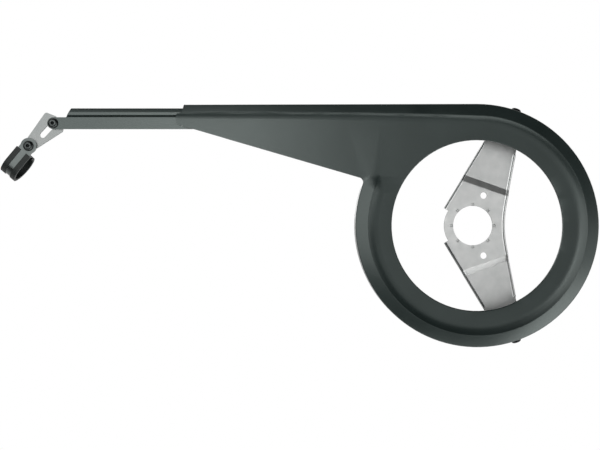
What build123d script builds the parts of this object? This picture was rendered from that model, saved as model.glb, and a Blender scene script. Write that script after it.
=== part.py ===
from build123d import *
from math import atan2, cos, radians, sin, tan
import os

# Bicycle chain guard, in millimetres. X points forward, Z up, and the outboard side faces -Y.
# The origin is the centre of the bottom bracket hole, at mid thickness of its plate.
# Every "out" value is a distance outboard of that mid plane.

# Moulded guard: the ring round the chainring
ring_outer_radius = 105.4
opening_radius = 74.0
# flat face and cove, as shares of the width between the opening and the rim
ring_flat_share = 0.344
ring_cove_share = 0.318
ring_ridge_rise = 3.8
face_out = 24.0
ring_depth = 22.0
guard_wall = 2.2
rim_corner_radius = 1.2
ridge_corner_radius = 0.6
opening_rounding = 0.8

# Moulded guard: the arm over the upper chain run, which narrows towards its tail
arm_length = 260.7
arm_tail_height = 21.05
arm_tail_drop = 0.7
arm_tail_band = 6.8
arm_tail_cove = 5.7
arm_tail_ridge_rise = 2.2
arm_tail_depth = 13.0
tail_band_setback = 5.2
tail_band_slant = 1.6
tail_nose_height = 8.2
tail_nose_rounding = 2.4
tail_sweep_length = 14.9
tail_sweep_drop = 5.1
tail_sweep_bulge = 0.5
junction_angle = 157.5
junction_rounding = 4.3
band_start_angle = 161.5
band_fade_angle = 10.0
band_end_rise = 0.3
lower_lip_depth = 4.0
lower_lip_start = 28.0

# Rail that telescopes in the tail, and what holds it there
rail_clearance = 0.2
rail_wall = 1.9
rail_strip_height = 10.25
rail_groove_width = 2.0
rail_groove_depth = 0.9
rail_step = 0.6
rail_nose_height = 2.1
rail_bevel_height = 4.0
rail_bevel_angle = 24.0
rail_top_rounding = 2.4
rail_depth = 9.6
rail_exposed = 107.0
rail_inner_length = 100.7
rail_band_setback = 11.2
rail_band_slant = 6.2
rail_travel_in = 50.0
rail_travel_out = 30.0
rail_boss_setback = 55.7
rail_boss_radius = 2.4
rail_slot_clearance = 0.2
guide_rib_width = 2.0
guide_rib_depth = 5.2
guide_rib_start = 29.0
guide_rib_length = 82.0
clamp_screw_radius = 1.5
clamp_screw_head_radius = 3.5
clamp_screw_head_height = 2.2
clamp_screw_bite = 1.1
clamp_washer_radius = 4.8

# Sheet steel plate that the bottom bracket holds
plate_thickness = 2.0
plate_hole_radius = 17.5
plate_hub_radius = 25.5
plate_arm_angle = 19.4
plate_front_width = 28.0
plate_front_angle = 10.8
plate_front_rounding = 100.0
plate_rear_width = 25.5
plate_rear_height = 15.6
plate_rear_angle = 31.2
plate_step_start = 34.3
plate_step_end = 40.0
plate_step = 2.1
plate_step_bend = 2.5
plate_tab_bend = 10.0
plate_tab_gap = 0.8
plate_tab_out = 21.3
plate_flange_height = 2.6
plate_flange_wall = 1.2
plate_flange_bend_share = 0.8
plate_flange_rounding_share = 0.4
plate_flange_end = 72.0
plate_flange_return = 2.5
plate_claw_count = 8
plate_claw_radius = 18.9
plate_claw_width = 2.5
plate_claw_height = 0.9
plate_claw_slope = 40.0
plate_small_hole_radius = 2.9
plate_small_hole_forward = 9.6
plate_small_hole_height = 26.7

# Link between rail and clip
link_thickness = 2.0
link_rise = 19.7
link_run = 21.4
link_slot_length = 13.7
link_slot_angle = 47.0
link_corner_rounding = 2.5
# corners of its outline, forward and up from the rail's screw, then from the clip's screw
link_upper_corners = ((-7.0, 9.8), (2.0, 6.3), (9.0, -6.4))
link_lower_corners = ((7.1, -1.7), (-0.4, -6.3), (-5.8, 0.9), (-1.8, 6.5))

# Clip for the chainstay
stay_radius = 10.75
clip_fall_angle = 50.0
clip_reach = 19.7
clip_lining = 0.85
clip_strap_thickness = 0.9
clip_strap_width = 12.6
clip_lip_thickness = 0.7
clip_lip_gap = 5.6
clip_lip_edge = 1.2
clip_ear_radius = 7.0
clip_ear_bend = 2.55
clip_ear_gap = 0.05
clip_lip_start = 6.4
clip_lining_start = 9.4
clip_rubber_gap = 0.03
clip_rubber_end = 2.0

# Screws, nuts and washers
screw_radius = 2.5
screw_head_radius = 4.5
screw_head_height = 2.8
screw_key_size = 3.0
# domed head: its side and its socket as shares of its height, its flat top as a share of its radius
screw_side_share = 0.12
screw_top_share = 0.56
screw_key_share = 0.6
screw_end = 0.7
hole_clearance = 0.1
nut_width = 8.0
nut_height = 4.0
nut_thread_gap = 0.05
washer_radius = 5.0
washer_thickness = 1.0
rim_screw_out = 16.0
rim_seat_depth = 0.15
rim_pad_radius = 6.5

# Sizes that follow from the ones above
ring_width = ring_outer_radius - opening_radius
ring_cove_width = ring_cove_share * ring_width
ring_flat_radius = opening_radius + ring_flat_share * ring_width
ring_ridge_radius = ring_flat_radius + ring_cove_width
ring_band_width = ring_outer_radius - ring_ridge_radius
inner_out = face_out - guard_wall
arm_base_height = (opening_radius + ring_flat_radius) / 2
tail_top = ring_outer_radius - arm_tail_drop
tail_x = -arm_length

rail_front_out = inner_out - rail_clearance
rail_back_out = rail_front_out - rail_wall
rail_bottom = tail_top - arm_tail_height + 0.1
rail_center_height = rail_bottom + rail_strip_height / 2
link_screw_x = tail_x - rail_exposed
rail_boss_x = tail_x + rail_boss_setback

link_back_out = rail_back_out - link_thickness
clip_screw_x = link_screw_x - link_run
clip_screw_z = rail_center_height - link_rise
ear_front_out = rail_back_out + 2 * clip_strap_thickness + clip_ear_gap
strap_radius = stay_radius + clip_lining + clip_strap_thickness / 2
clip_out = ear_front_out - clip_strap_thickness / 2 - strap_radius

tab_face = ring_outer_radius - guard_wall - plate_tab_gap
rim_seat = ring_outer_radius - rim_seat_depth
nut_stack = washer_thickness + nut_height + screw_end
plate_rear_foot = (-plate_rear_width, plate_rear_height)
plate_flange_rise = plate_thickness / 2 + plate_flange_height
plate_flange_bend = plate_flange_bend_share * (plate_step_bend - plate_thickness / 2)
plate_flange_rounding = plate_flange_rounding_share * plate_flange_wall

os.makedirs("parts", exist_ok=True)


def radial_plane(angle):
    """Plane through the hole's axis: local x runs outwards at this angle, local y runs outboard."""
    a = radians(angle)
    return Plane(origin=(0, 0, 0), x_dir=(cos(a), 0, sin(a)), z_dir=(sin(a), 0, -cos(a)))


def cross_plane(x):
    """Plane across the arm: local x is the height, local y runs outboard."""
    return Plane(origin=(x, 0, 0), x_dir=(0, 0, 1), z_dir=(1, 0, 0))


def side_plane(out):
    """Plane along the side of the bicycle: local x is forward, local y up, and its normal runs outboard."""
    return Plane.XZ.offset(out)


def screw_plane(x, z, out, head=1):
    """Plane across a screw, with its normal towards the head: 1 for outboard, -1 for inboard."""
    return Plane(origin=(x, -out, z), x_dir=(1, 0, 0), z_dir=(0, -head, 0))


def rim_plane(side, reach):
    """Plane across a rim screw, at this reach from the hole's axis. Side is 1 above and -1 below."""
    a = radians(90 - plate_arm_angle)
    spoke = (cos(a), 0, side * sin(a))
    origin = (reach * spoke[0], -rim_screw_out, reach * spoke[2])
    return Plane(origin=origin, x_dir=(0, 1, 0), z_dir=spoke)


def clip_plane():
    """Plane across the chainstay: local x runs from the clip's screw to the tube, local y outboard."""
    a = radians(clip_fall_angle)
    origin = (clip_screw_x, 0, clip_screw_z)
    return Plane(origin=origin, x_dir=(-cos(a), 0, -sin(a)), z_dir=(-sin(a), 0, cos(a)))


def ease(share):
    """Smooth step from 0 to 1."""
    return share * share * (3 - 2 * share)


def skin_outline(base, flat_end, ridge, top, rise):
    """Outer line of the guard's section: flat face, cove up to the ridge, and the bevelled band."""
    Line((base, face_out), (flat_end, face_out))
    TangentArc((flat_end, face_out), (ridge, face_out + rise), tangent=(1, 0))
    Line((ridge, face_out + rise), (top, face_out))


def guard_section(plane, base, flat_end, ridge, top, rise, depth):
    """Section of the moulding: a wall of even thickness from the flat face to the edge of the rim."""
    cove_end = 2 * atan2(rise, ridge - flat_end)
    bevel = atan2(rise, top - ridge)
    miter = guard_wall / (1 + cos(cove_end + bevel))
    inner_ridge = (
        ridge + miter * (sin(cove_end) - sin(bevel)),
        face_out + rise - miter * (cos(cove_end) + cos(bevel)),
    )
    inner_top = (top - guard_wall, face_out + guard_wall * (tan(bevel) - 1 / cos(bevel)))
    with BuildSketch(plane) as section:
        with BuildLine():
            skin_outline(base, flat_end, ridge, top, rise)
            Polyline((top, face_out), (top, face_out - depth), (top - guard_wall, face_out - depth), inner_top)
            Line(inner_top, inner_ridge)
            TangentArc((flat_end, inner_out), inner_ridge, tangent=(1, 0))
            Polyline((flat_end, inner_out), (base, inner_out), (base, face_out))
        make_face()
        fillet(section.vertices().sort_by_distance((ridge, face_out + rise))[0], ridge_corner_radius)
        fillet(section.vertices().sort_by_distance((top, face_out))[0], rim_corner_radius)
    return section.sketch


def band_section(angle, rise, sink):
    """Section of the band's end, filled, and sunk under the arm's flat face where it fades out."""
    plane = radial_plane(angle)
    plane.origin += Vector(0, sink, 0)
    base = arm_base_height
    with BuildSketch(plane) as section:
        with BuildLine():
            skin_outline(base, ring_flat_radius, ring_ridge_radius, ring_outer_radius, rise)
            Polyline(
                (ring_outer_radius, face_out),
                (ring_outer_radius, face_out - guard_wall / 2 - rim_corner_radius / 2),
                (base, face_out - guard_wall / 2 - rim_corner_radius / 2),
                (base, face_out),
            )
        make_face()
        fillet(section.vertices().sort_by_distance((ring_ridge_radius, face_out + rise))[0], ridge_corner_radius)
        fillet(section.vertices().sort_by_distance((ring_outer_radius, face_out))[0], rim_corner_radius)
    return section.sketch


def arm_section(share):
    """Section of the arm, from 0 at the ring to 1 at the tail."""
    rest = 1 - share
    top = ring_outer_radius - arm_tail_drop * share
    ridge = top - arm_tail_band - (ring_band_width - arm_tail_band) * rest**3
    flat_end = ridge - arm_tail_cove - (ring_cove_width - arm_tail_cove) * rest**2
    rise = arm_tail_ridge_rise + (ring_ridge_rise - arm_tail_ridge_rise) * rest**2
    depth = arm_tail_depth + (ring_depth - arm_tail_depth) * rest
    return guard_section(cross_plane(tail_x * share), arm_base_height, flat_end, ridge, top, rise, depth)


def ring_point(radius, angle):
    """Point at a radius and angle about the hole's axis."""
    return (radius * cos(radians(angle)), radius * sin(radians(angle)))


def arm_outline():
    """Side view of the arm and of the face between it and the ring."""
    band_end = tail_x + tail_band_setback
    ridge = tail_top - arm_tail_band
    low = (tail_x + tail_sweep_length, tail_top - arm_tail_height)
    nose = (tail_x, low[1] + tail_sweep_drop)
    middle = ((nose[0] + low[0]) / 2 - tail_sweep_bulge, (nose[1] + low[1]) / 2 - tail_sweep_bulge)
    nose_top = (tail_x, nose[1] + tail_nose_height)
    junction = ring_point(ring_outer_radius, junction_angle)
    above = ring_outer_radius + ring_depth
    with BuildSketch(side_plane(0)) as outline:
        with BuildLine():
            Polyline(
                ring_point(opening_radius / 2, band_start_angle),
                (0, opening_radius / 2),
                (0, above),
                (band_end + tail_band_slant, above),
                (band_end + tail_band_slant, tail_top),
                (band_end, ridge),
                nose_top,
                nose,
            )
            ThreePointArc(nose, middle, low)
            Line(low, junction)
            CenterArc((0, 0), ring_outer_radius, junction_angle, band_start_angle - junction_angle)
            Line(
                ring_point(ring_outer_radius, band_start_angle),
                ring_point(opening_radius / 2, band_start_angle),
            )
        make_face()
        fillet(outline.vertices().sort_by_distance(junction)[0], junction_rounding)
        fillet(outline.vertices().sort_by_distance(nose_top)[0], tail_nose_rounding)
    return outline.sketch


def lower_lip():
    """Side view of the stiffening lip along the arm's straight lower edge."""
    low = Vector(tail_x + tail_sweep_length, tail_top - arm_tail_height)
    junction = Vector(*ring_point(ring_outer_radius, junction_angle))
    run = (junction - low).normalized()
    inward = Vector(-run.Y, run.X) * guard_wall
    start = low + run * lower_lip_start
    end = junction - run * junction_rounding
    with BuildSketch(side_plane(face_out - lower_lip_depth)) as lip:
        with BuildLine():
            Polyline(start, end, end + inward, start + inward, close=True)
        make_face()
    return lip.sketch


def turn_screw(plane, radius, head_radius, head_height, length):
    """Screw whose domed head sits on this plane, with a hexagonal socket for its key."""
    top_radius = screw_top_share * head_radius
    side_height = screw_side_share * head_height
    with BuildSketch(Plane(origin=plane.origin, x_dir=plane.x_dir, z_dir=-plane.y_dir)) as section:
        with BuildLine():
            Polyline(
                (top_radius, head_height),
                (0, head_height),
                (0, -length),
                (radius - screw_end, -length),
                (radius, screw_end - length),
                (radius, 0),
                (head_radius, 0),
                (head_radius, side_height),
            )
            TangentArc((head_radius, side_height), (top_radius, head_height), tangent=(0, 1))
        make_face()
    revolve(section.sketch, axis=Axis(plane.origin, plane.z_dir))
    with BuildSketch(plane.offset(head_height)) as socket:
        RegularPolygon(radius=screw_key_size / 2, side_count=6, major_radius=False)
    extrude(socket.sketch, amount=-screw_key_share * head_height, mode=Mode.SUBTRACT)


def turn_ring(plane, outer, inner, height):
    """Washer with one face on this plane, on the side that the plane's normal points away from."""
    with BuildSketch(plane) as section:
        Circle(outer)
        Circle(inner, mode=Mode.SUBTRACT)
    extrude(section.sketch, amount=-height)


def turn_nut(plane):
    """Hexagonal nut with one face on this plane, on the side that its normal points away from."""
    with BuildSketch(plane) as section:
        RegularPolygon(radius=nut_width / 2, side_count=6, major_radius=False)
        Circle(screw_radius + nut_thread_gap, mode=Mode.SUBTRACT)
    extrude(section.sketch, amount=-nut_height)


def plate_path(end, shift=0):
    """Middle line of the bent sheet along the upper arm, out to this reach and shifted outboard."""
    Polyline(
        (-2 * plate_hub_radius, shift),
        (plate_step_start, shift),
        (plate_step_end, shift - plate_step),
        (end, shift - plate_step),
    )


def plate_edge(start, angle, length):
    """Point on a slanted edge of the plate, at this length from the start of the edge."""
    return (start[0] + length * sin(radians(angle)), start[1] + length * cos(radians(angle)))


def along_plate_arm(edges):
    """Those of the edges that run along the plate's upper arm, not across it."""
    a = radians(plate_arm_angle)
    return edges.filter_by(lambda edge: abs(edge.tangent_at(0.5).dot(Vector(sin(a), 0, cos(a)))) > 0.5)


def plate_front(inset):
    """Draw the waisted front edge of the plate's upper half, this far inside, and give its end."""
    a = radians(plate_front_angle)
    radius = plate_front_rounding + inset
    waist = (plate_front_width - inset, 0)
    foot = (waist[0] + radius * (1 - cos(a)), radius * sin(a))
    end = plate_edge(foot, plate_front_angle, ring_outer_radius)
    TangentArc(waist, foot, tangent=(0, 1))
    Line(foot, end)
    return end


with BuildPart() as guard_arm:
    loft([arm_section(share) for share in (0, 0.12, 0.25, 0.45, 0.7, 1)])
    with BuildSketch(side_plane(inner_out)):
        with Locations((tail_x / 2, arm_base_height / 2)):
            Rectangle(arm_length, arm_base_height)
    extrude(amount=guard_wall)
    extrude(arm_outline(), amount=face_out + ring_depth, mode=Mode.INTERSECT)

with BuildPart() as band_end:
    # the raised band sinks into the flat face of the arm
    sections = []
    for share in (0, 0.3, 0.65, 1):
        rise = band_end_rise + (ring_ridge_rise - band_end_rise) * (1 - ease(share))
        angle = band_start_angle - band_fade_angle * share
        sections.append(band_section(angle, rise, 1.5 * band_end_rise * share))
    loft(sections)

with BuildPart() as guard_body:
    # ring, from the top round the front and below to the arm's lower edge
    revolve(
        guard_section(
            radial_plane(90),
            opening_radius,
            ring_flat_radius,
            ring_ridge_radius,
            ring_outer_radius,
            ring_ridge_rise,
            ring_depth,
        ),
        axis=Axis.Y,
        revolution_arc=360 + 90 - band_start_angle,
    )
    add(guard_arm.part)
    add(band_end.part)
    extrude(lower_lip(), amount=lower_lip_depth - guard_wall / 2)

    # opening for the chainring's middle, with a rounded front edge
    with BuildSketch(side_plane(0)):
        Circle(opening_radius)
    extrude(amount=face_out + ring_depth, mode=Mode.SUBTRACT)
    with BuildSketch(radial_plane(0)):
        with Locations((opening_radius, face_out)):
            Rectangle(2 * opening_rounding, 2 * opening_rounding)
        with Locations((opening_radius + opening_rounding, face_out - opening_rounding)):
            Circle(opening_rounding, mode=Mode.SUBTRACT)
    revolve(axis=Axis.Y, mode=Mode.SUBTRACT)

    # seats, pads and holes for the two rim screws
    for side in (1, -1):
        with BuildSketch(rim_plane(side, tab_face)):
            Circle(rim_pad_radius)
        extrude(amount=ring_outer_radius - tab_face - guard_wall / 2)
        with BuildSketch(rim_plane(side, rim_seat)):
            Circle(screw_head_radius + hole_clearance)
        extrude(amount=guard_wall, mode=Mode.SUBTRACT)
        with BuildSketch(rim_plane(side, tab_face - guard_wall)):
            Circle(screw_radius + hole_clearance)
        extrude(amount=2 * guard_wall + plate_tab_gap, mode=Mode.SUBTRACT)

    # rib under the rail, and the boss that its slot slides along
    with BuildSketch(side_plane(inner_out - guide_rib_depth)):
        with Locations((tail_x + guide_rib_start, rail_bottom - rail_clearance)):
            Rectangle(guide_rib_length, guide_rib_width, align=(Align.MIN, Align.MAX))
    extrude(amount=guide_rib_depth + guard_wall / 2)
    with BuildSketch(side_plane(rail_back_out + rail_clearance)):
        with Locations((rail_boss_x, rail_center_height)):
            Circle(rail_boss_radius)
    extrude(amount=rail_wall + guard_wall / 2)
    with BuildSketch(side_plane(rail_back_out)):
        with Locations((rail_boss_x, rail_center_height)):
            Circle(clamp_screw_radius + nut_thread_gap)
    extrude(amount=inner_out + clamp_screw_bite + nut_thread_gap - rail_back_out, mode=Mode.SUBTRACT)

guard_body.part.label = "guard_body"
export_step(guard_body.part, "parts/guard_body.step")

with BuildPart() as plate_flanges:
    # upturned edges of the upper arm, which follow the sheet's step and run out before its tab
    with BuildSketch(radial_plane(90 - plate_arm_angle)):
        with BuildLine() as line:
            plate_path(plate_flange_end, plate_flange_rise / 2)
            fillet(line.vertices().sort_by(Axis.X)[1:3], plate_step_bend)
        trace(line_width=plate_flange_rise)
    extrude(amount=ring_outer_radius, both=True)
    with BuildSketch(side_plane(0)):
        with BuildLine():
            outer_end = plate_front(0)
            inner_end = plate_front(plate_flange_wall)
            Line(outer_end, inner_end)
            Line((plate_front_width, 0), (plate_front_width - plate_flange_wall, 0))
        make_face()
        with BuildLine():
            Polyline(
                plate_rear_foot,
                plate_edge(plate_rear_foot, plate_rear_angle, ring_outer_radius),
                plate_edge(
                    plate_edge(plate_rear_foot, 90 + plate_rear_angle, plate_flange_wall),
                    plate_rear_angle,
                    ring_outer_radius,
                ),
                plate_edge(plate_rear_foot, 90 + plate_rear_angle, plate_flange_wall),
                close=True,
            )
        make_face()
    extrude(amount=ring_outer_radius, both=True, mode=Mode.INTERSECT)
    tops = plate_flanges.faces().filter_by(lambda face: face.normal_at().Y < -0.5)
    fillet(along_plate_arm(tops.edges()), plate_flange_rounding)

with BuildPart() as bottom_bracket_plate:
    # one arm: the sheet steps inboard beyond the hub and turns outboard inside the rim
    with BuildSketch(radial_plane(90 - plate_arm_angle)):
        with BuildLine() as line:
            plate_path(tab_face - plate_thickness / 2)
            Line(
                (tab_face - plate_thickness / 2, -plate_step),
                (tab_face - plate_thickness / 2, plate_tab_out),
            )
            fillet(line.vertices().sort_by(Axis.X)[1:3], plate_step_bend)
            corner = line.vertices().sort_by(Axis.X)[-2:].sort_by(Axis.Y)[0]
            fillet(corner, plate_tab_bend)
        trace(line_width=plate_thickness)
    extrude(amount=ring_outer_radius, both=True)
    with BuildSketch(side_plane(0)):
        with BuildLine():
            front_end = plate_front(0)
            Polyline(
                front_end,
                plate_edge(plate_rear_foot, plate_rear_angle, ring_outer_radius),
                plate_rear_foot,
                plate_edge(plate_rear_foot, 90 + plate_rear_angle, plate_flange_return),
                (0, 0),
                (plate_front_width, 0),
            )
        make_face()
        with BuildLine():
            CenterArc((0, 0), plate_hub_radius, 0, 180)
            Line((-plate_hub_radius, 0), (plate_hub_radius, 0))
        make_face()
    extrude(amount=ring_outer_radius, both=True, mode=Mode.INTERSECT)
    add(plate_flanges.part)
    fillet(along_plate_arm(bottom_bracket_plate.edges(Select.NEW)), plate_flange_bend)
    with BuildSketch(rim_plane(1, ring_outer_radius)):
        Circle(screw_radius + hole_clearance)
    extrude(amount=-ring_outer_radius / 4, mode=Mode.SUBTRACT)
    with BuildSketch(side_plane(0)):
        with Locations((plate_small_hole_forward, plate_small_hole_height)):
            Circle(plate_small_hole_radius)
    extrude(amount=plate_thickness, both=True, mode=Mode.SUBTRACT)

    # the lower arm mirrors the upper one
    mirror(about=Plane.XY)
    with BuildSketch(side_plane(0)):
        Circle(plate_hole_radius)
    extrude(amount=plate_thickness, both=True, mode=Mode.SUBTRACT)

    # claws that bite into the frame's shell: dents outboard, points inboard
    with BuildSketch(Plane(origin=(0, -plate_thickness / 2, 0), x_dir=(1, 0, 0), z_dir=(0, 1, 0))):
        with PolarLocations(plate_claw_radius, plate_claw_count):
            Rectangle(plate_claw_width, plate_claw_width)
    extrude(amount=plate_claw_height, taper=plate_claw_slope, mode=Mode.SUBTRACT)
    with BuildSketch(Plane(origin=(0, plate_thickness / 2, 0), x_dir=(1, 0, 0), z_dir=(0, 1, 0))):
        with PolarLocations(plate_claw_radius, plate_claw_count):
            Rectangle(plate_claw_width, plate_claw_width)
    extrude(amount=plate_claw_height, taper=plate_claw_slope)

bottom_bracket_plate.part.label = "bottom_bracket_plate"
export_step(bottom_bracket_plate.part, "parts/bottom_bracket_plate.step")

rim_screw_length = rim_seat - tab_face + plate_thickness + nut_height + screw_end

with BuildPart() as upper_rim_screw:
    turn_screw(rim_plane(1, rim_seat), screw_radius, screw_head_radius, screw_head_height, rim_screw_length)

upper_rim_screw.part.label = "upper_rim_screw"
export_step(upper_rim_screw.part, "parts/upper_rim_screw.step")

with BuildPart() as lower_rim_screw:
    turn_screw(rim_plane(-1, rim_seat), screw_radius, screw_head_radius, screw_head_height, rim_screw_length)

lower_rim_screw.part.label = "lower_rim_screw"
export_step(lower_rim_screw.part, "parts/lower_rim_screw.step")

with BuildPart() as upper_rim_nut:
    turn_nut(rim_plane(1, tab_face - plate_thickness))

upper_rim_nut.part.label = "upper_rim_nut"
export_step(upper_rim_nut.part, "parts/upper_rim_nut.step")

with BuildPart() as lower_rim_nut:
    turn_nut(rim_plane(-1, tab_face - plate_thickness))

lower_rim_nut.part.label = "lower_rim_nut"
export_step(lower_rim_nut.part, "parts/lower_rim_nut.step")

with BuildPart() as rear_rail:
    # section: flat strip, groove, nose, and a bevel up to the top, which turns inboard
    middle_out = rail_front_out - rail_wall / 2
    groove = rail_bottom + rail_strip_height
    nose = groove + rail_groove_width
    bevel = nose + rail_nose_height
    top = bevel + rail_bevel_height - rail_wall / 2
    top_out = middle_out + rail_step - (top - bevel) * tan(radians(rail_bevel_angle))
    with BuildSketch(cross_plane(link_screw_x - rail_strip_height)):
        with BuildLine() as line:
            Polyline(
                (rail_bottom, middle_out),
                (groove, middle_out),
                (nose, middle_out + rail_step),
                (bevel, middle_out + rail_step),
                (top, top_out),
                (top, rail_front_out - rail_depth),
            )
            fillet(line.vertices().sort_by_distance((top, top_out))[0], rail_top_rounding - rail_wall / 2)
            fillet(line.vertices().sort_by(Axis.X)[1:4], rail_wall / 2)
        trace(line_width=rail_wall)
        with BuildLine():
            Polyline(
                (groove, rail_front_out + rail_step),
                (groove + rail_groove_width / 2, rail_front_out - rail_groove_depth),
                (nose, rail_front_out + rail_step),
                close=True,
            )
        make_face(mode=Mode.SUBTRACT)
    extrude(amount=rail_exposed + rail_inner_length + rail_strip_height)

    # side view: round strip end for the screw, and the slanted start of the upper band
    band_x = link_screw_x + rail_band_setback
    inner_end = tail_x + rail_inner_length
    with BuildSketch(side_plane(0)):
        with BuildLine():
            Polyline(
                (link_screw_x, rail_bottom),
                (inner_end, rail_bottom),
                (inner_end, ring_outer_radius),
                (band_x + rail_band_slant, ring_outer_radius),
                (band_x, rail_bottom + rail_strip_height),
                (link_screw_x, rail_bottom + rail_strip_height),
                close=True,
            )
        make_face()
        with Locations((link_screw_x, rail_center_height)):
            Circle(rail_strip_height / 2)
    extrude(amount=ring_outer_radius, mode=Mode.INTERSECT)

    # screw hole, and the slot that limits how far the rail slides
    with BuildSketch(side_plane(0)):
        with Locations((link_screw_x, rail_center_height)):
            Circle(screw_radius + hole_clearance)
        with Locations((rail_boss_x + (rail_travel_out - rail_travel_in) / 2, rail_center_height)):
            SlotCenterToCenter(rail_travel_in + rail_travel_out, 2 * (rail_boss_radius + rail_slot_clearance))
    extrude(amount=ring_outer_radius, mode=Mode.SUBTRACT)

rear_rail.part.label = "rear_rail"
export_step(rear_rail.part, "parts/rear_rail.step")

with BuildPart() as rail_clamp_washer:
    turn_ring(
        screw_plane(rail_boss_x, rail_center_height, rail_back_out),
        clamp_washer_radius,
        clamp_screw_radius + hole_clearance,
        washer_thickness,
    )

rail_clamp_washer.part.label = "rail_clamp_washer"
export_step(rail_clamp_washer.part, "parts/rail_clamp_washer.step")

with BuildPart() as rail_clamp_screw:
    turn_screw(
        screw_plane(rail_boss_x, rail_center_height, rail_back_out - washer_thickness, -1),
        clamp_screw_radius,
        clamp_screw_head_radius,
        clamp_screw_head_height,
        inner_out + clamp_screw_bite - rail_back_out + washer_thickness,
    )

rail_clamp_screw.part.label = "rail_clamp_screw"
export_step(rail_clamp_screw.part, "parts/rail_clamp_screw.step")

with BuildPart() as link_plate:
    upper = [(link_screw_x + x, rail_center_height + z) for x, z in link_upper_corners]
    lower = [(clip_screw_x + x, clip_screw_z + z) for x, z in link_lower_corners]
    with BuildSketch(side_plane(link_back_out)) as sketch:
        with BuildLine():
            Polyline(*upper, *lower, close=True)
        make_face()
        fillet(sketch.vertices(), link_corner_rounding)
        with Locations((clip_screw_x, clip_screw_z)):
            Circle(screw_radius + hole_clearance, mode=Mode.SUBTRACT)
        with Locations(Location((link_screw_x, rail_center_height, 0), (0, 0, 180 + link_slot_angle))):
            with Locations((link_slot_length / 2, 0)):
                SlotCenterToCenter(link_slot_length, 2 * (screw_radius + hole_clearance), mode=Mode.SUBTRACT)
    extrude(amount=link_thickness)

link_plate.part.label = "link_plate"
export_step(link_plate.part, "parts/link_plate.step")

with BuildPart() as link_screw:
    turn_screw(
        screw_plane(link_screw_x, rail_center_height, rail_front_out),
        screw_radius,
        screw_head_radius,
        screw_head_height,
        rail_wall + link_thickness + nut_stack,
    )

link_screw.part.label = "link_screw"
export_step(link_screw.part, "parts/link_screw.step")

with BuildPart() as link_washer:
    turn_ring(
        screw_plane(link_screw_x, rail_center_height, link_back_out),
        washer_radius,
        screw_radius + hole_clearance,
        washer_thickness,
    )

link_washer.part.label = "link_washer"
export_step(link_washer.part, "parts/link_washer.step")

with BuildPart() as link_nut:
    turn_nut(screw_plane(link_screw_x, rail_center_height, link_back_out - washer_thickness))

link_nut.part.label = "link_nut"
export_step(link_nut.part, "parts/link_nut.step")


def clip_path(radius, start, end):
    """Line that follows the strap at this radius about the tube, from the front round to the near side."""
    Line((start, clip_out + radius), (clip_reach, clip_out + radius))
    CenterArc((clip_reach, clip_out), radius, 90, -270)
    Line((clip_reach - radius, clip_out), (clip_reach - radius, end))


with BuildPart() as clip_strap:
    # one strap: front ear, round the tube, and back behind the front ear
    rear_ear_out = rail_back_out + clip_strap_thickness / 2
    with BuildSketch(clip_plane()):
        with BuildLine() as line:
            clip_path(strap_radius, -clip_ear_radius, rear_ear_out)
            Line((clip_reach - strap_radius, rear_ear_out), (-clip_ear_radius, rear_ear_out))
            corner = line.vertices().sort_by_distance((clip_reach - strap_radius, rear_ear_out))[0]
            fillet(corner, clip_ear_bend)
        trace(line_width=clip_strap_thickness)
    extrude(amount=clip_ear_radius, both=True)
    with BuildSketch(Plane(origin=clip_plane().origin, x_dir=clip_plane().x_dir, z_dir=(0, -1, 0))):
        Circle(clip_ear_radius)
        Rectangle(2 * ring_outer_radius, clip_strap_width, align=(Align.MIN, Align.CENTER))
    extrude(amount=ring_outer_radius, both=True, mode=Mode.INTERSECT)
    with BuildSketch(screw_plane(clip_screw_x, clip_screw_z, ear_front_out)):
        Circle(screw_radius + hole_clearance)
    extrude(amount=-3 * clip_strap_thickness, mode=Mode.SUBTRACT)

clip_strap.part.label = "clip_strap"
export_step(clip_strap.part, "parts/clip_strap.step")

with BuildPart() as clip_rubber:
    # soft channel that lines the strap and folds over its edges
    outer = strap_radius + clip_strap_thickness / 2 + clip_rubber_gap + clip_lip_thickness
    with BuildSketch(clip_plane()):
        with BuildLine():
            clip_path((stay_radius + outer) / 2, clip_lip_start, clip_out + clip_rubber_end)
        trace(line_width=outer - stay_radius)
    extrude(amount=clip_strap_width / 2 + clip_lip_edge, both=True)
    with BuildSketch(clip_plane()):
        with BuildLine():
            clip_path(strap_radius, clip_lip_start, clip_out + clip_rubber_end)
        trace(line_width=clip_strap_thickness + 2 * clip_rubber_gap)
        with Locations((clip_lip_start, clip_out + strap_radius)):
            Rectangle(clip_lining_start - clip_lip_start, outer, align=(Align.MIN, Align.MAX))
    extrude(amount=clip_strap_width / 2 + clip_rubber_gap, both=True, mode=Mode.SUBTRACT)
    with BuildSketch(clip_plane()):
        with BuildLine():
            clip_path(outer, clip_lip_start, clip_out + clip_rubber_end)
        trace(line_width=2 * (clip_lip_thickness + clip_rubber_gap))
    extrude(amount=clip_lip_gap / 2, both=True, mode=Mode.SUBTRACT)

clip_rubber.part.label = "clip_rubber"
export_step(clip_rubber.part, "parts/clip_rubber.step")

with BuildPart() as clip_screw:
    turn_screw(
        screw_plane(clip_screw_x, clip_screw_z, ear_front_out),
        screw_radius,
        screw_head_radius,
        screw_head_height,
        ear_front_out - link_back_out + nut_stack,
    )

clip_screw.part.label = "clip_screw"
export_step(clip_screw.part, "parts/clip_screw.step")

with BuildPart() as clip_washer:
    turn_ring(
        screw_plane(clip_screw_x, clip_screw_z, link_back_out),
        washer_radius,
        screw_radius + hole_clearance,
        washer_thickness,
    )

clip_washer.part.label = "clip_washer"
export_step(clip_washer.part, "parts/clip_washer.step")

with BuildPart() as clip_nut:
    turn_nut(screw_plane(clip_screw_x, clip_screw_z, link_back_out - washer_thickness))

clip_nut.part.label = "clip_nut"
export_step(clip_nut.part, "parts/clip_nut.step")
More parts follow.
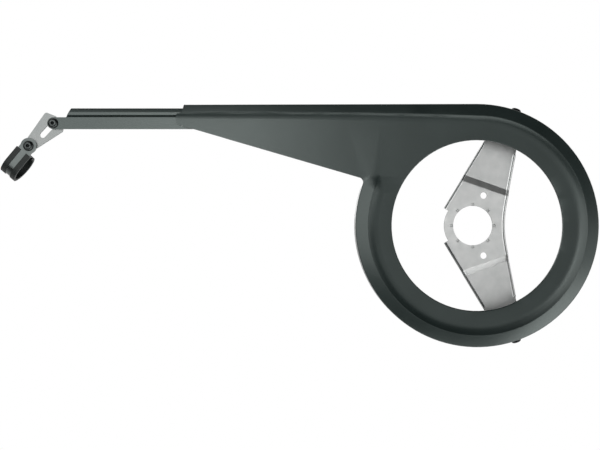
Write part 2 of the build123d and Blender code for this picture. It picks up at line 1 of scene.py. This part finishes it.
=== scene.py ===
import math

import bpy
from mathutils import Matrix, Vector

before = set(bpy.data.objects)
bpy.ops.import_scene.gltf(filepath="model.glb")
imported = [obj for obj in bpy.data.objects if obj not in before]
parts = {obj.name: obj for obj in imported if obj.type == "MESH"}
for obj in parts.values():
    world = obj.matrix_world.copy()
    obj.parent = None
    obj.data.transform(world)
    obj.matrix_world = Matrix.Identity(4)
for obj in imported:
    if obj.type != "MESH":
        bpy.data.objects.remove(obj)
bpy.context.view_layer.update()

MM = 0.001
WHITE = (1.0, 1.0, 1.0, 1.0)


# Colour and shader tools


def linear(hex_colour):
    """Turn an sRGB hex colour such as "c8c9c6" into the linear colour that shaders take."""
    channels = []
    for start in (0, 2, 4):
        share = int(hex_colour[start : start + 2], 16) / 255
        channels.append(share / 12.92 if share <= 0.04045 else ((share + 0.055) / 1.055) ** 2.4)
    return (*channels, 1.0)


def add_node(tree, kind, inputs=None, **settings):
    """Add a shader node. Each input is a plain value, or the socket of another node to link from."""
    node = tree.nodes.new(kind)
    for name, value in settings.items():
        setattr(node, name, value)
    for name, value in (inputs or {}).items():
        if isinstance(value, bpy.types.NodeSocket):
            tree.links.new(value, node.inputs[name])
        else:
            node.inputs[name].default_value = value
    return node


def new_material(name):
    """Start a material. Give it, its node tree and the coordinates of the piece that wears it."""
    material = bpy.data.materials.new(name)
    material.use_nodes = True
    tree = material.node_tree
    tree.nodes.clear()
    coordinates = add_node(tree, "ShaderNodeTexCoord").outputs["Object"]
    return material, tree, coordinates


def add_surface(tree, inputs):
    """Close a material with its surface shader and its output."""
    shader = add_node(tree, "ShaderNodeBsdfPrincipled", inputs)
    add_node(tree, "ShaderNodeOutputMaterial", {"Surface": shader.outputs["BSDF"]})


# Materials: in each one, noise of a real size in millimetres drives the colour and the gloss, and in all but
# the blackened steel the bump

# most of a noise texture's values lie between these two
NOISE = {"From Min": 0.3, "From Max": 0.7}
# and most of the sum of two such textures between these
NOISE_SUM = {"From Min": 0.7, "From Max": 1.3}
# rubbed places are the upper part of the noise
RUBBED_NOISE = {"From Min": 0.35, "From Max": 0.75}

# the dyed plastic reflects a little more green than red
PLASTIC_GLINT = linear("eefaf6")


def satin_moulding():
    """Injection-moulded ABS, dyed black: its fine spark-eroded grain spreads every reflection softly."""
    material, tree, place = new_material("satin moulded ABS")
    # slow drift of the colour, where the melt met a cooler wall: patches of about 45 mm
    drift = add_node(tree, "ShaderNodeTexNoise", {"Vector": place, "Scale": 1 / (45 * MM), "Detail": 2.0})
    # the grain itself is near 0.1 mm; it is drawn at 0.7 mm so that it shows
    grain = add_node(tree, "ShaderNodeTexNoise", {"Vector": place, "Scale": 1 / (0.7 * MM), "Detail": 3.0})
    shade = add_node(tree, "ShaderNodeMapRange", {"Value": drift.outputs["Fac"], **NOISE})
    colour = add_node(
        tree,
        "ShaderNodeMix",
        {"Factor": shade.outputs["Result"], "A": linear("141b1a"), "B": linear("1c2322")},
        data_type="RGBA",
    )
    gloss = add_node(
        tree,
        "ShaderNodeMapRange",
        {"Value": grain.outputs["Fac"], **NOISE, "To Min": 0.28, "To Max": 0.34},
    )
    bump = add_node(
        tree,
        "ShaderNodeBump",
        {"Height": grain.outputs["Fac"], "Strength": 0.12, "Distance": 0.05 * MM},
    )
    add_surface(
        tree,
        {
            "Base Color": colour.outputs["Result"],
            "Roughness": gloss.outputs["Result"],
            "Normal": bump.outputs["Normal"],
            "IOR": 1.5,
            "Specular IOR Level": 0.56,
            "Specular Tint": PLASTIC_GLINT,
        },
    )
    return material


def extruded_plastic():
    """Extruded ABS, dyed black: the die leaves faint lines along its length."""
    material, tree, place = new_material("extruded ABS")
    # die lines 0.5 mm apart and some 120 mm long
    stretched = add_node(
        tree,
        "ShaderNodeMapping",
        {"Vector": place, "Scale": (1 / (120 * MM), 1 / (0.5 * MM), 1 / (0.5 * MM))},
    )
    lines = add_node(
        tree, "ShaderNodeTexNoise", {"Vector": stretched.outputs["Vector"], "Scale": 1.0, "Detail": 3.0}
    )
    shade = add_node(tree, "ShaderNodeMapRange", {"Value": lines.outputs["Fac"], **NOISE})
    colour = add_node(
        tree,
        "ShaderNodeMix",
        {"Factor": shade.outputs["Result"], "A": linear("1a2120"), "B": linear("232a29")},
        data_type="RGBA",
    )
    gloss = add_node(
        tree,
        "ShaderNodeMapRange",
        {"Value": lines.outputs["Fac"], **NOISE, "To Min": 0.26, "To Max": 0.32},
    )
    bump = add_node(
        tree,
        "ShaderNodeBump",
        {"Height": lines.outputs["Fac"], "Strength": 0.15, "Distance": 0.03 * MM},
    )
    add_surface(
        tree,
        {
            "Base Color": colour.outputs["Result"],
            "Roughness": gloss.outputs["Result"],
            "Normal": bump.outputs["Normal"],
            "IOR": 1.5,
            "Specular IOR Level": 0.62,
            "Specular Tint": PLASTIC_GLINT,
        },
    )
    return material


def zinc_plated_sheet(name, grain_length, dark, light, smoothest, roughest, grain_depth):
    """Cold-rolled steel, plated with zinc: rolling marks along the piece under a cloudy skin.

    The marks' length is in millimetres and their depth in metres.
    """
    material, tree, place = new_material(name)
    # rolling marks 0.4 mm across
    stretched = add_node(
        tree,
        "ShaderNodeMapping",
        {"Vector": place, "Scale": (1 / (0.4 * MM), 1 / (0.4 * MM), 1 / (grain_length * MM))},
    )
    rolled = add_node(
        tree, "ShaderNodeTexNoise", {"Vector": stretched.outputs["Vector"], "Scale": 1.0, "Detail": 3.0}
    )
    # clouds in the plating, about 9 mm across
    clouds = add_node(tree, "ShaderNodeTexNoise", {"Vector": place, "Scale": 1 / (9 * MM), "Detail": 4.0})
    shade = add_node(tree, "ShaderNodeMapRange", {"Value": clouds.outputs["Fac"], **NOISE})
    colour = add_node(
        tree,
        "ShaderNodeMix",
        {"Factor": shade.outputs["Result"], "A": linear(dark), "B": linear(light)},
        data_type="RGBA",
    )
    both = add_node(
        tree,
        "ShaderNodeMath",
        {0: rolled.outputs["Fac"], 1: clouds.outputs["Fac"]},
        operation="ADD",
    )
    gloss = add_node(
        tree,
        "ShaderNodeMapRange",
        {"Value": both.outputs["Value"], **NOISE_SUM, "To Min": smoothest, "To Max": roughest},
    )
    bump = add_node(
        tree,
        "ShaderNodeBump",
        {"Height": rolled.outputs["Fac"], "Strength": 0.2, "Distance": grain_depth},
    )
    add_surface(
        tree,
        {
            "Base Color": colour.outputs["Result"],
            "Metallic": 1.0,
            "Roughness": gloss.outputs["Result"],
            "Normal": bump.outputs["Normal"],
        },
    )
    return material


def black_steel(name, dark, light):
    """Blackened steel screws: a thin dark oxide, rubbed a little brighter in places 1.6 mm across."""
    material, tree, place = new_material(name)
    rubbed = add_node(tree, "ShaderNodeTexNoise", {"Vector": place, "Scale": 1 / (1.6 * MM), "Detail": 3.0})
    shade = add_node(tree, "ShaderNodeMapRange", {"Value": rubbed.outputs["Fac"], **RUBBED_NOISE})
    colour = add_node(
        tree,
        "ShaderNodeMix",
        {"Factor": shade.outputs["Result"], "A": linear(dark), "B": linear(light)},
        data_type="RGBA",
    )
    # rubbed places are smoother too
    gloss = add_node(
        tree,
        "ShaderNodeMapRange",
        {"Value": rubbed.outputs["Fac"], **NOISE, "To Min": 0.34, "To Max": 0.24},
    )
    add_surface(
        tree,
        {
            "Base Color": colour.outputs["Result"],
            "Metallic": 1.0,
            "Roughness": gloss.outputs["Result"],
        },
    )
    return material


def soft_rubber():
    """Moulded rubber lining: matt, with a faint dusty bloom."""
    material, tree, place = new_material("moulded rubber")
    # bloom in patches of 5 mm, and pores 0.5 mm apart
    bloom = add_node(tree, "ShaderNodeTexNoise", {"Vector": place, "Scale": 1 / (5 * MM), "Detail": 4.0})
    pores = add_node(tree, "ShaderNodeTexNoise", {"Vector": place, "Scale": 1 / (0.5 * MM), "Detail": 2.0})
    shade = add_node(tree, "ShaderNodeMapRange", {"Value": bloom.outputs["Fac"], **NOISE})
    colour = add_node(
        tree,
        "ShaderNodeMix",
        {"Factor": shade.outputs["Result"], "A": linear("0e1211"), "B": linear("181d1b")},
        data_type="RGBA",
    )
    gloss = add_node(
        tree,
        "ShaderNodeMapRange",
        {"Value": bloom.outputs["Fac"], **NOISE, "To Min": 0.46, "To Max": 0.58},
    )
    bump = add_node(
        tree,
        "ShaderNodeBump",
        {"Height": pores.outputs["Fac"], "Strength": 0.2, "Distance": 0.05 * MM},
    )
    add_surface(
        tree,
        {
            "Base Color": colour.outputs["Result"],
            "Roughness": gloss.outputs["Result"],
            "Normal": bump.outputs["Normal"],
            "IOR": 1.52,
            "Specular IOR Level": 0.22,
        },
    )
    return material


guard_finish = satin_moulding()
rail_finish = extruded_plastic()
plate_finish = zinc_plated_sheet("dull zinc-plated sheet", 30, "b9bbba", "c6c7c6", 0.37, 0.44, 0.025 * MM)
strap_finish = zinc_plated_sheet("satin zinc-plated strip", 12, "707372", "7b7d7c", 0.4, 0.48, 0.03 * MM)
# the clip's strip wears a darker copy of the zinc: painted shade standing in for the dark room that its
# curved band reflects
clip_finish = zinc_plated_sheet("clip strip darkened as painted reflection", 12, "454948", "535756", 0.24, 0.32, 0.01 * MM)
# where the press sheared the sheet, no bright zinc is left
sheared_finish = zinc_plated_sheet("sheared edge of steel sheet", 2, "5a5d5d", "6c6f6e", 0.4, 0.5, 0.01 * MM)
fixing_finish = zinc_plated_sheet("bright zinc-plated fixing", 2, "b8bbb9", "d6d8d6", 0.25, 0.38, 0.01 * MM)
screw_finish = black_steel("blackened steel", "2c2f2f", "454847")
# the rim screws wear a darker copy of the same blackened steel: painted shade
rim_screw_finish = black_steel("blackened steel, rim screws darkened as painted shade", "101213", "1c1f20")
# the key sockets wear a darker copy of the blackened steel: painted shade inside the recess
socket_finish = black_steel("blackened steel, socket painted with shade", "0a0b0b", "121413")
lining_finish = soft_rubber()

# what each piece wears; the washers, nuts and clamp screw that aren't named wear fixing_finish
finishes = {
    "guard_body": guard_finish,
    "rear_rail": rail_finish,
    "bottom_bracket_plate": plate_finish,
    "link_plate": strap_finish,
    "clip_strap": clip_finish,
    "clip_rubber": lining_finish,
    "upper_rim_screw": rim_screw_finish,
    "lower_rim_screw": rim_screw_finish,
    "link_screw": screw_finish,
    "clip_screw": screw_finish,
}


# Faces with a finish of their own, and key sockets with painted shade. The camera looks along +Y, so a face
# towards it has a normal along -Y

# a key socket is painted dark, as the shade inside its recess, between these two depths below the screw
# head's crown, and inside this radius
SOCKET_TOP = 0.5 * MM
SOCKET_FLOOR = 2 * MM
SOCKET_RADIUS = 2.4 * MM
# a face is seen edge-on where less than this share of its normal lies along Y
EDGE_SHARE = 0.3
# the plate's flanges reach past this Y, and its end tabs start to bend outside this radius
FLANGE_TOP = -1.3 * MM
TAB_RADIUS = 80 * MM
# how far the middle of the plate's arms leans forward per millimetre of height
ARM_SLOPE = 0.35


def key_socket_faces(mesh):
    """Faces inside a screw head's key socket, which get a darker finish: painted shade in the recess."""
    count = len(mesh.vertices)
    crown = min(vertex.co.y for vertex in mesh.vertices)
    middle_x = sum(vertex.co.x for vertex in mesh.vertices) / count
    middle_z = sum(vertex.co.z for vertex in mesh.vertices) / count
    return [
        face
        for face in mesh.polygons
        if math.hypot(face.center.x - middle_x, face.center.z - middle_z) < SOCKET_RADIUS
        and SOCKET_TOP < face.center.y - crown < SOCKET_FLOOR
    ]


def is_edge(face):
    """Whether a face of a flat piece of sheet is its narrow edge."""
    return abs(face.normal.y) < EDGE_SHARE


def is_rear_flange_top(face):
    """Whether a face is the top of a flange on the rear side of the plate."""
    rear_side = face.center.x < ARM_SLOPE * abs(face.center.z)
    return face.normal.y < -EDGE_SHARE and face.center.y < FLANGE_TOP and rear_side


def sheared_link_faces(mesh):
    """The link's narrow edges."""
    return [face for face in mesh.polygons if is_edge(face)]


def sheared_plate_faces(mesh):
    """The plate's narrow edges and the tops of its rear flanges, but nothing of its end tabs."""
    return [
        face
        for face in mesh.polygons
        if math.hypot(face.center.x, face.center.z) < TAB_RADIUS
        and (is_edge(face) or is_rear_flange_top(face))
    ]


second_finishes = {
    "link_screw": (socket_finish, key_socket_faces),
    "clip_screw": (socket_finish, key_socket_faces),
    "link_plate": (sheared_finish, sheared_link_faces),
    "bottom_bracket_plate": (sheared_finish, sheared_plate_faces),
}

# neighbouring CAD faces don't share the vertices of their border: those this close are joined
BORDER_GAP = 0.002 * MM
# surfaces are smooth up to this many degrees between faces, and crisp past it
CRISP_ANGLE = 25
# the plate's rounded flanges turn by more than that from face to face
PLATE_CRISP_ANGLE = 40

for name, part in parts.items():
    mesh = part.data
    mesh.materials.clear()
    mesh.materials.append(finishes.get(name, fixing_finish))
    for face in mesh.polygons:
        face.use_smooth = True
        face.material_index = 0
    if name in second_finishes:
        finish, chosen_faces = second_finishes[name]
        mesh.materials.append(finish)
        for face in chosen_faces(mesh):
            face.material_index = 1
    join = part.modifiers.new("join face borders", "WELD")
    join.merge_threshold = BORDER_GAP
    crisp = part.modifiers.new("crisp edges", "EDGE_SPLIT")
    crisp.split_angle = math.radians(PLATE_CRISP_ANGLE if name == "bottom_bracket_plate" else CRISP_ANGLE)


# Studio, in metres

# the floor lies well below the picture's lower edge
FLOOR = -1.05
FLOOR_SIDE, FLOOR_NEAR, FLOOR_FAR = 4.0, -0.75, 2.9
# the floor glows at this share of white in the picture and in reflections, and the lamps give the rest
FLOOR_GLOW = 0.75
# how far the unlit room reaches, which stands round the camera's side of the object
LEFT, RIGHT, FRONT, BACK, TOP = -1.9, 1.6, -1.8, 0.05, 1.5


def studio_card(name, corners, finish):
    """Flat four-cornered card of the studio, not part of the object."""
    mesh = bpy.data.meshes.new(name)
    mesh.from_pydata([Vector(corner) for corner in corners], [], [(0, 1, 2, 3)])
    card = bpy.data.objects.new(name, mesh)
    bpy.context.scene.collection.objects.link(card)
    mesh.materials.append(finish)
    return card


def pale_floor_finish():
    """Matt white floor: it keeps shadows, and looks as pale as the backdrop."""
    material, tree, _ = new_material("pale floor")
    light = add_node(tree, "ShaderNodeLightPath")
    seen = add_node(
        tree,
        "ShaderNodeMath",
        {0: light.outputs["Is Camera Ray"], 1: light.outputs["Is Glossy Ray"]},
        operation="MAXIMUM",
    )
    glow = add_node(tree, "ShaderNodeMath", {0: seen.outputs["Value"], 1: FLOOR_GLOW}, operation="MULTIPLY")
    add_surface(
        tree,
        {
            "Base Color": linear("f4f4f2"),
            "Roughness": 0.9,
            "Emission Color": WHITE,
            "Emission Strength": glow.outputs["Value"],
        },
    )
    return material


def unlit_room_finish():
    """Matt black cloth of the room behind the camera."""
    material, tree, _ = new_material("unlit room")
    add_surface(tree, {"Base Color": linear("0c0c0c"), "Roughness": 0.9})
    return material


studio_card(
    "floor",
    [
        (-FLOOR_SIDE, FLOOR_NEAR, FLOOR),
        (FLOOR_SIDE, FLOOR_NEAR, FLOOR),
        (FLOOR_SIDE, FLOOR_FAR, FLOOR),
        (-FLOOR_SIDE, FLOOR_FAR, FLOOR),
    ],
    pale_floor_finish(),
)

dark_room = {
    "dark ceiling": [(LEFT, FRONT, TOP), (RIGHT, FRONT, TOP), (RIGHT, BACK, TOP), (LEFT, BACK, TOP)],
    "dark wall": [(LEFT, FRONT, FLOOR), (RIGHT, FRONT, FLOOR), (RIGHT, FRONT, TOP), (LEFT, FRONT, TOP)],
    "dark left side": [(LEFT, FRONT, FLOOR), (LEFT, BACK, FLOOR), (LEFT, BACK, TOP), (LEFT, FRONT, TOP)],
    "dark right side": [(RIGHT, FRONT, FLOOR), (RIGHT, BACK, FLOOR), (RIGHT, BACK, TOP), (RIGHT, FRONT, TOP)],
    "dark front floor": [
        (LEFT, FRONT, FLOOR),
        (RIGHT, FRONT, FLOOR),
        (RIGHT, FLOOR_NEAR, FLOOR),
        (LEFT, FLOOR_NEAR, FLOOR),
    ],
}
room_finish = unlit_room_finish()
for name, card_corners in dark_room.items():
    card = studio_card(name, card_corners, room_finish)
    # only reflections see the room
    card.visible_camera = False
    card.visible_diffuse = False
    card.visible_shadow = False
    card.visible_transmission = False

# the point that the softboxes aim at, and how far from it they stand
MIDDLE = Vector((-0.15, 0.0, 0.03))
REACH = 1.15


def softbox(name, side, up, wide, high, radiance, reach=REACH):
    """Softbox aimed at the guard's middle. Its place and its size are angles in degrees, seen from there."""
    sideways, upwards = math.radians(side), math.radians(up)
    towards = Vector(
        (math.sin(sideways) * math.cos(upwards), -math.cos(sideways) * math.cos(upwards), math.sin(upwards))
    )
    lamp = bpy.data.lights.new(name, "AREA")
    lamp.shape = "RECTANGLE"
    lamp.size = 2 * reach * math.tan(math.radians(wide / 2)) * math.cos(upwards)
    lamp.size_y = 2 * reach * math.tan(math.radians(high / 2))
    lamp.energy = radiance * math.pi * lamp.size * lamp.size_y
    box = bpy.data.objects.new(name, lamp)
    bpy.context.scene.collection.objects.link(box)
    box.location = MIDDLE + reach * towards
    box.rotation_euler = (-towards).to_track_quat("-Z", "Y").to_euler()
    box.visible_camera = False


softbox("left softbox", side=-34.5, up=9, wide=47, high=54, radiance=2.8)
softbox("upper left softbox", side=-29, up=45, wide=58, high=18, radiance=0.7)
softbox("key softbox", side=-6, up=9, wide=12, high=18, radiance=5.4)
softbox("front fill", side=15, up=-9, wide=54, high=54, radiance=0.8)
softbox("right softbox", side=58, up=-9, wide=32, high=18, radiance=1.2)
softbox("lower right softbox", side=58, up=-36, wide=32, high=36, radiance=4.8)
softbox("far right softbox", side=82, up=0, wide=16, high=36, radiance=1.8)
softbox("bounce card", side=0, up=-63, wide=70, high=18, radiance=1.4, reach=1.1)
softbox("rear softbox", side=200, up=25, wide=60, high=50, radiance=1.2)

# the world lights the object weakly, and looks white to the camera, in reflections and through glass
world = bpy.data.worlds.new("white studio")
bpy.context.scene.world = world
world.use_nodes = True
sky = world.node_tree
sky.nodes.clear()
rays = add_node(sky, "ShaderNodeLightPath")
seen = add_node(
    sky,
    "ShaderNodeMath",
    {0: rays.outputs["Is Camera Ray"], 1: rays.outputs["Is Glossy Ray"]},
    operation="MAXIMUM",
)
seen_or_through = add_node(
    sky,
    "ShaderNodeMath",
    {0: seen.outputs["Value"], 1: rays.outputs["Is Transmission Ray"]},
    operation="MAXIMUM",
)
room_light = add_node(sky, "ShaderNodeBackground", {"Color": linear("f4f4f4"), "Strength": 0.2})
white_backdrop = add_node(sky, "ShaderNodeBackground", {"Color": WHITE, "Strength": 1.0})
blend = add_node(
    sky,
    "ShaderNodeMixShader",
    {
        0: seen_or_through.outputs["Value"],
        1: room_light.outputs["Background"],
        2: white_backdrop.outputs["Background"],
    },
)
add_node(sky, "ShaderNodeOutputWorld", {"Surface": blend.outputs["Shader"]})

bpy.context.scene.view_settings.view_transform = "Standard"

# Camera: square on to the guard's side, 900 mm from its face, as the photograph shows it
camera_data = bpy.data.cameras.new("camera")
camera_data.sensor_width = 36.0
camera_data.lens = 62.4
camera = bpy.data.objects.new("camera", camera_data)
bpy.context.scene.collection.objects.link(camera)
camera.location = (-153.4 * MM, -924.0 * MM, 0.5 * MM)
camera.rotation_euler = (math.radians(90), 0.0, 0.0)
bpy.context.scene.camera = camera


def corners(box):
    """Two corners of a box as plain lists of numbers."""
    return [[float(value) for value in corner] for corner in box]
